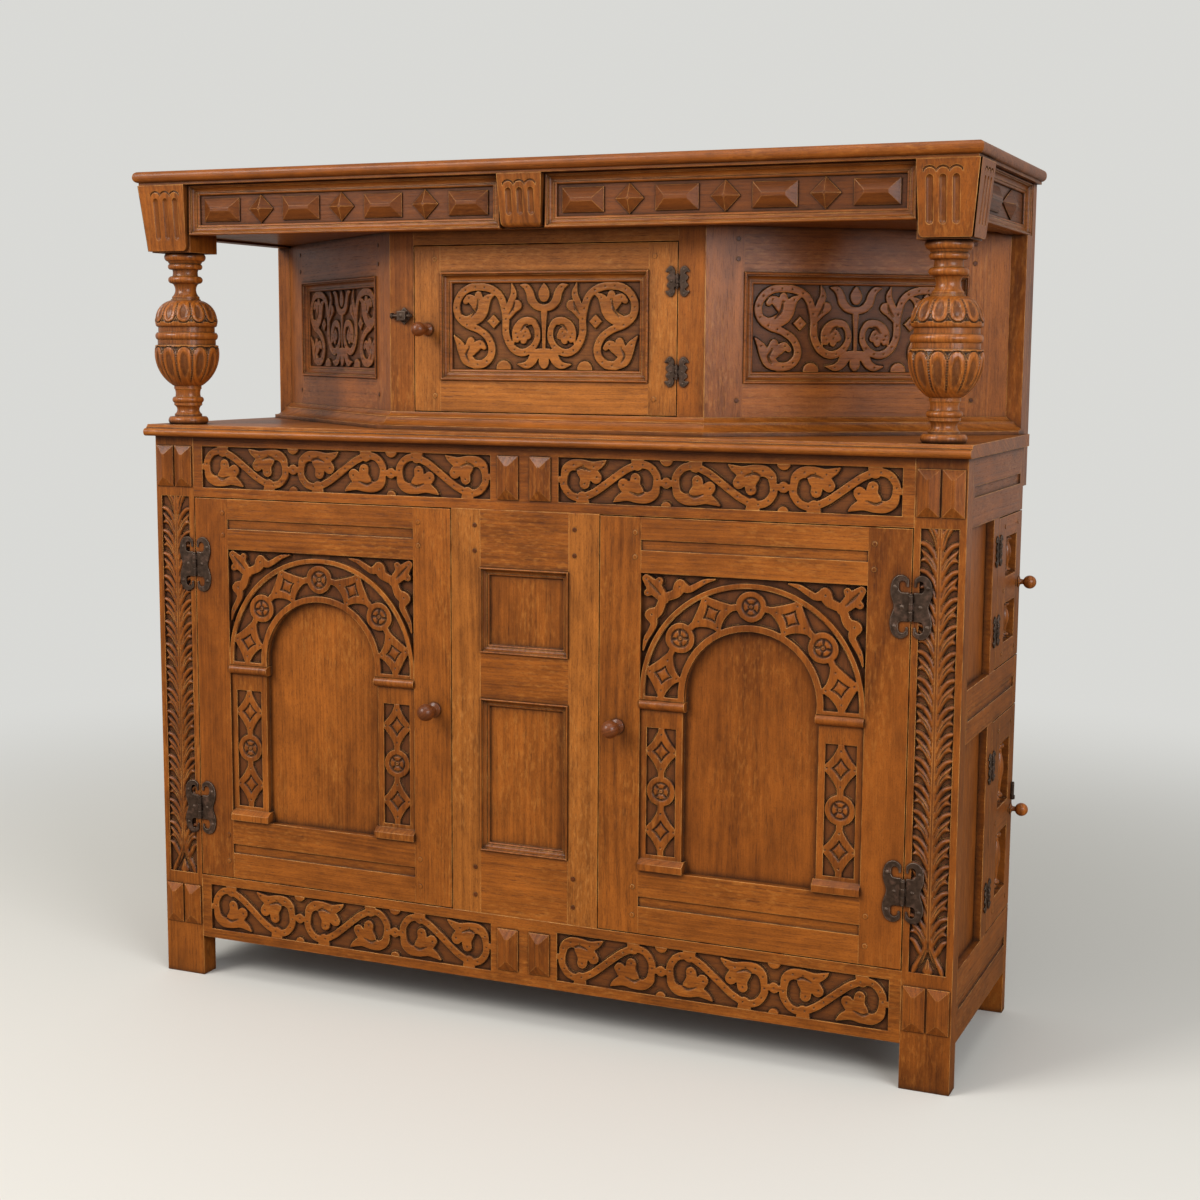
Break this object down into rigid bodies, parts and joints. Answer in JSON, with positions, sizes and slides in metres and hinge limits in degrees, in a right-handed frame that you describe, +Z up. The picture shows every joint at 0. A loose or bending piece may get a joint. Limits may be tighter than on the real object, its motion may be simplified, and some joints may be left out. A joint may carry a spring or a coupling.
{
  "type": "court cupboard",
  "caption": "Court cupboard: carved lower case with arcaded doors and side doors, canted upper cupboard behind cup-and-cover balusters under a jewelled frieze.",
  "frame": {"origin": "floor level, at the middle of the box around the whole piece", "axes": "+X to the viewer's right when facing the front, +Z up; the front faces -Y"},
  "size_m": [1.354, 0.456, 1.286],
  "materials": {
    "oak": "waxed quarter-sawn oak, mid brown",
    "plain_oak": "unpolished oak, darkened",
    "turned_oak": "waxed turned oak",
    "knob_wood": "polished red-brown turned wood",
    "wrought_iron": "blackened forged iron"
  },
  "bodies": {
    "case": {"back_boards": "plain_oak", "back_frame": "plain_oak", "back_posts": "oak", "base_moulding": "oak", "brackets": "oak", "canted_frames": "oak", "canted_panels": "oak", "case_ironwork": "wrought_iron", "centre_frame": "oak", "centre_panels": "oak", "corner_blocks": "oak", "frieze_boards": "oak", "frieze_bosses": "oak", "frieze_mouldings": "oak", "front_bottom_rail": "oak", "front_top_rail": "oak", "inner_boards": "plain_oak", "left_baluster": "turned_oak", "left_front_post": "oak", "left_side_frame": "oak", "oak_pegs": "oak", "post_bosses": "oak", "right_baluster": "turned_oak", "right_front_post": "oak", "right_side_frame": "oak", "shelf_board": "oak", "side_panels": "oak", "soffit_board": "plain_oak", "top_board": "oak", "upper_back_frame": "plain_oak", "upper_front_frame": "oak", "upper_posts": "oak"},
    "left_door": {"left_door_frame": "oak", "left_door_hinge_leaves": "wrought_iron", "left_door_knob": "knob_wood", "left_door_panel": "oak"},
    "right_door": {"right_door_frame": "oak", "right_door_hinge_leaves": "wrought_iron", "right_door_knob": "knob_wood", "right_door_panel": "oak"},
    "upper_door": {"upper_door_frame": "oak", "upper_door_hinge_leaves": "wrought_iron", "upper_door_knob": "knob_wood", "upper_door_panel": "oak"},
    "left_upper_side_door": {"left_upper_side_door_frame": "oak", "left_upper_side_door_hinge_leaves": "wrought_iron", "left_upper_side_door_turnings": "turned_oak"},
    "left_lower_side_door": {"left_lower_side_door_frame": "oak", "left_lower_side_door_iron": "wrought_iron", "left_lower_side_door_turnings": "turned_oak"},
    "left_turn_catch": {"left_turn_catch": "wrought_iron"},
    "right_upper_side_door": {"right_upper_side_door_frame": "oak", "right_upper_side_door_hinge_leaves": "wrought_iron", "right_upper_side_door_turnings": "turned_oak"},
    "right_lower_side_door": {"right_lower_side_door_frame": "oak", "right_lower_side_door_iron": "wrought_iron", "right_lower_side_door_turnings": "turned_oak"},
    "right_turn_catch": {"right_turn_catch": "wrought_iron"},
    "bolt": {"bolt": "wrought_iron"}
  },
  "joints": [
    {"name": "right_door_hinge", "type": "hinge", "parent": "case", "child": "right_door", "pos_m": [0.57825, -0.1916, 0.4785], "axis": [0, 0, 1], "range_deg": [0, 110]},
    {"name": "left_door_hinge", "type": "hinge", "parent": "case", "child": "left_door", "pos_m": [-0.57825, -0.1916, 0.4785], "axis": [0, 0, -1], "range_deg": [0, 110]},
    {"name": "upper_door_hinge", "type": "hinge", "parent": "case", "child": "upper_door", "pos_m": [0.21325, -0.1308, 1.05], "axis": [0, 0, 1], "range_deg": [0, 110]},
    {"name": "bolt_slide", "type": "slide", "parent": "case", "child": "bolt", "axis": [1, 0, 0], "range_m": [0, 0.009]},
    {"name": "right_upper_side_door_hinge", "type": "hinge", "parent": "case", "child": "right_upper_side_door", "pos_m": [0.6528, 0.02575, 0.677], "axis": [0, 0, -1], "range_deg": [0, 110]},
    {"name": "right_lower_side_door_hinge", "type": "hinge", "parent": "case", "child": "right_lower_side_door", "pos_m": [0.6528, 0.02575, 0.323], "axis": [0, 0, -1], "range_deg": [0, 110]},
    {"name": "right_catch_turn", "type": "hinge", "parent": "right_lower_side_door", "child": "right_turn_catch", "pos_m": [0.652, 0.183, 0.341], "axis": [-1, 0, 0], "range_deg": [0, 90]},
    {"name": "left_upper_side_door_hinge", "type": "hinge", "parent": "case", "child": "left_upper_side_door", "pos_m": [-0.6528, 0.02575, 0.677], "axis": [0, 0, 1], "range_deg": [0, 110]},
    {"name": "left_lower_side_door_hinge", "type": "hinge", "parent": "case", "child": "left_lower_side_door", "pos_m": [-0.6528, 0.02575, 0.323], "axis": [0, 0, 1], "range_deg": [0, 110]},
    {"name": "left_catch_turn", "type": "hinge", "parent": "left_lower_side_door", "child": "left_turn_catch", "pos_m": [-0.652, 0.183, 0.341], "axis": [-1, 0, 0], "range_deg": [0, 90]}
  ]
}
